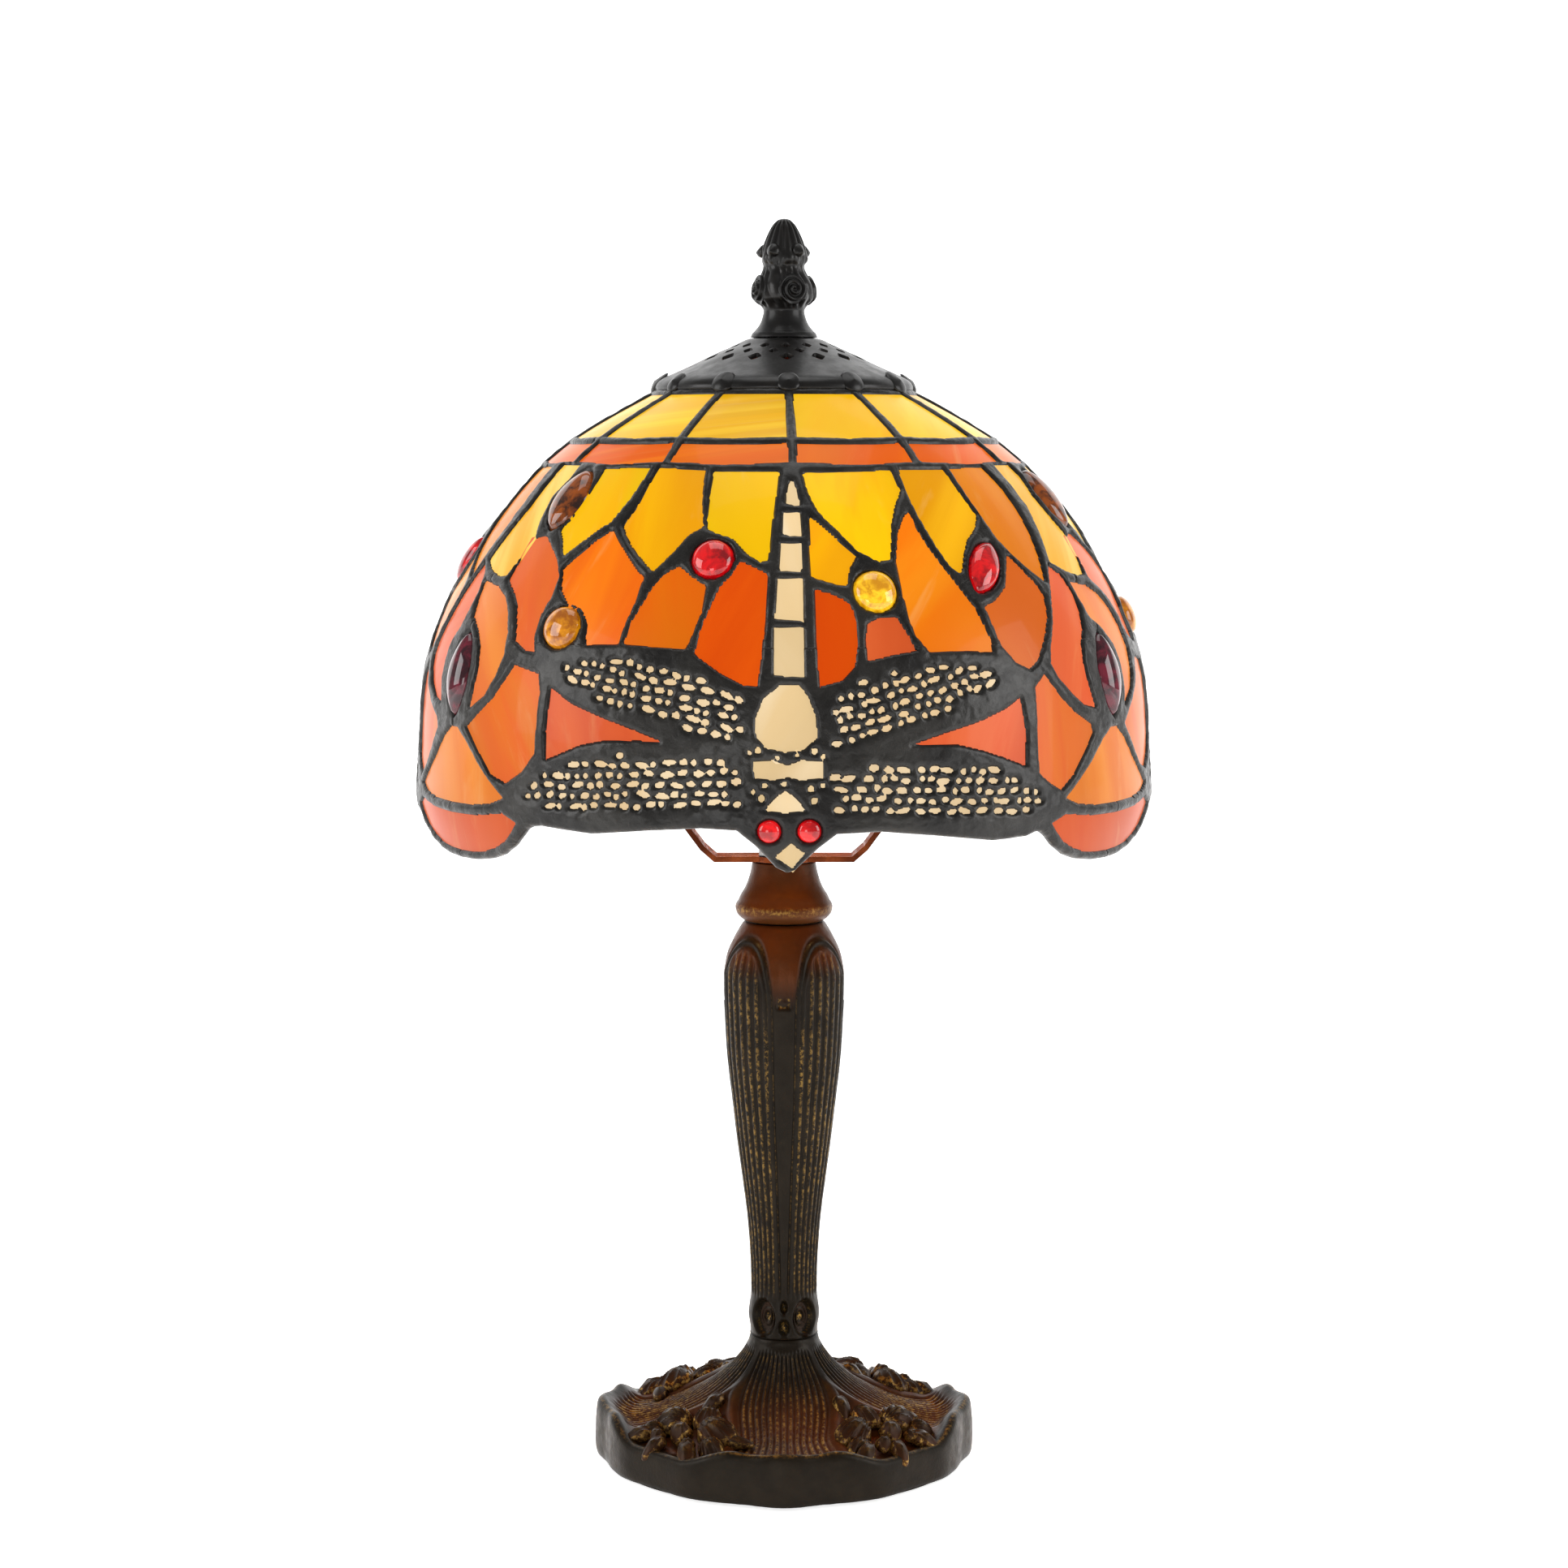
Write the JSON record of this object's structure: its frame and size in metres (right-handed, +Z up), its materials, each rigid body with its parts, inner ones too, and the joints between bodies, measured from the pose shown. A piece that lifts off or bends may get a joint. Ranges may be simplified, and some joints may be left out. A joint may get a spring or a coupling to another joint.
{
  "type": "stained glass table lamp",
  "caption": "Table lamp with a leaded dragonfly glass dome on a strip harp, a fluted cast column and a round flared base; the shade lifts off under a screwed finial.",
  "frame": {"origin": "on the table under the middle of the felt pad", "axes": "+Z up the lamp's axis, -Y towards the front dragonfly, +X to its right as seen from the front"},
  "size_m": [0.2036, 0.202, 0.35],
  "materials": {
    "patinated_bronze": "dark brown patina, rubbed copper in the hollows and gold on the edges",
    "baize": "dark green felt",
    "cast_iron": "rough black",
    "bakelite": "moulded, semi-gloss",
    "zinc_steel": "zinc plated",
    "copper_strap": "copper brown strip, satin",
    "brass": "plain brass",
    "porcelain": "glazed white",
    "bulb_glass": "opal glass, lit warm",
    "black_cap": "near-black satin patina",
    "lead_solder": "dark solder, wrinkled beads",
    "yellow_glass": "opalescent, streaked bright yellow",
    "orange_glass": "opalescent, streaked orange",
    "cream_glass": "opalescent cream",
    "wing_glass": "cream glass behind dark pierced metal",
    "amber_glass": "opalescent, yellow to red-orange"
  },
  "bodies": {
    "root": {"base_casting": "patinated_bronze", "felt_pad": "baize", "base_weight": "cast_iron", "cord_grommet": "bakelite", "column_casting": "patinated_bronze", "neck_bell": "patinated_bronze", "tie_rod": "zinc_steel", "rod_nut": "zinc_steel", "harp": "copper_strap", "harp_nut": "zinc_steel", "harp_stud": "zinc_steel", "stud_nut": "zinc_steel", "holder_cap": "bakelite", "holder_shell": "bakelite", "holder_core": "porcelain", "screw_shell": "brass", "centre_contact": "brass"},
    "seat": {"seat_bush": "brass"},
    "shade": {"heat_cap": "black_cap", "shade_lead": "lead_solder", "crown_pane_1": "yellow_glass", "crown_pane_2": "yellow_glass", "crown_pane_3": "yellow_glass", "crown_pane_4": "yellow_glass", "crown_pane_5": "yellow_glass", "crown_pane_6": "yellow_glass", "crown_pane_7": "yellow_glass", "crown_pane_8": "yellow_glass", "crown_pane_9": "yellow_glass", "crown_pane_10": "yellow_glass", "crown_pane_11": "yellow_glass", "crown_pane_12": "yellow_glass", "border_pane_1": "orange_glass", "border_pane_2": "orange_glass", "border_pane_3": "orange_glass", "border_pane_4": "orange_glass", "border_pane_5": "orange_glass", "border_pane_6": "orange_glass", "border_pane_7": "orange_glass", "border_pane_8": "orange_glass", "border_pane_9": "orange_glass", "border_pane_10": "orange_glass", "border_pane_11": "orange_glass", "border_pane_12": "orange_glass", "dragonfly_body_1": "cream_glass", "right_wings_1": "wing_glass", "left_wings_1": "wing_glass", "ground_glass_1": "amber_glass", "dragonfly_body_2": "cream_glass", "right_wings_2": "wing_glass", "left_wings_2": "wing_glass", "ground_glass_2": "amber_glass", "dragonfly_body_3": "cream_glass", "right_wings_3": "wing_glass", "left_wings_3": "wing_glass", "ground_glass_3": "amber_glass"},
    "finial_insert": {"finial_bush": "brass"},
    "finial": {"finial": "black_cap"},
    "bulb_base": {"bulb_cap": "brass"},
    "bulb": {"bulb_glass": "bulb_glass"}
  },
  "joints": [
    {"name": "shade_turn", "type": "hinge", "parent": "root", "child": "seat", "pos_m": [0, 0, 0.315], "axis": [0, 0, 1], "continuous": true},
    {"name": "shade_lift", "type": "slide", "parent": "seat", "child": "shade", "axis": [0, 0, 1], "range_m": [0, 0.15]},
    {"name": "finial_travel", "type": "slide", "parent": "shade", "child": "finial_insert", "axis": [0, 0, 1], "range_m": [0, 0.0085]},
    {"name": "finial_turn", "type": "hinge", "parent": "finial_insert", "child": "finial", "pos_m": [0, 0, 0.33], "axis": [0, 0, 1], "range_deg": [0, 2880]},
    {"name": "bulb_travel", "type": "slide", "parent": "root", "child": "bulb_base", "axis": [0, 0, 1], "range_m": [0, 0.0115]},
    {"name": "bulb_turn", "type": "hinge", "parent": "bulb_base", "child": "bulb", "pos_m": [0, 0, 0.25], "axis": [0, 0, 1], "range_deg": [0, 1440]}
  ],
  "couplings": [
    {"joint": "finial_travel", "follows": "finial_turn", "m_per_rad": 0.00015915},
    {"joint": "bulb_travel", "follows": "bulb_turn", "m_per_rad": 0.00044882}
  ]
}
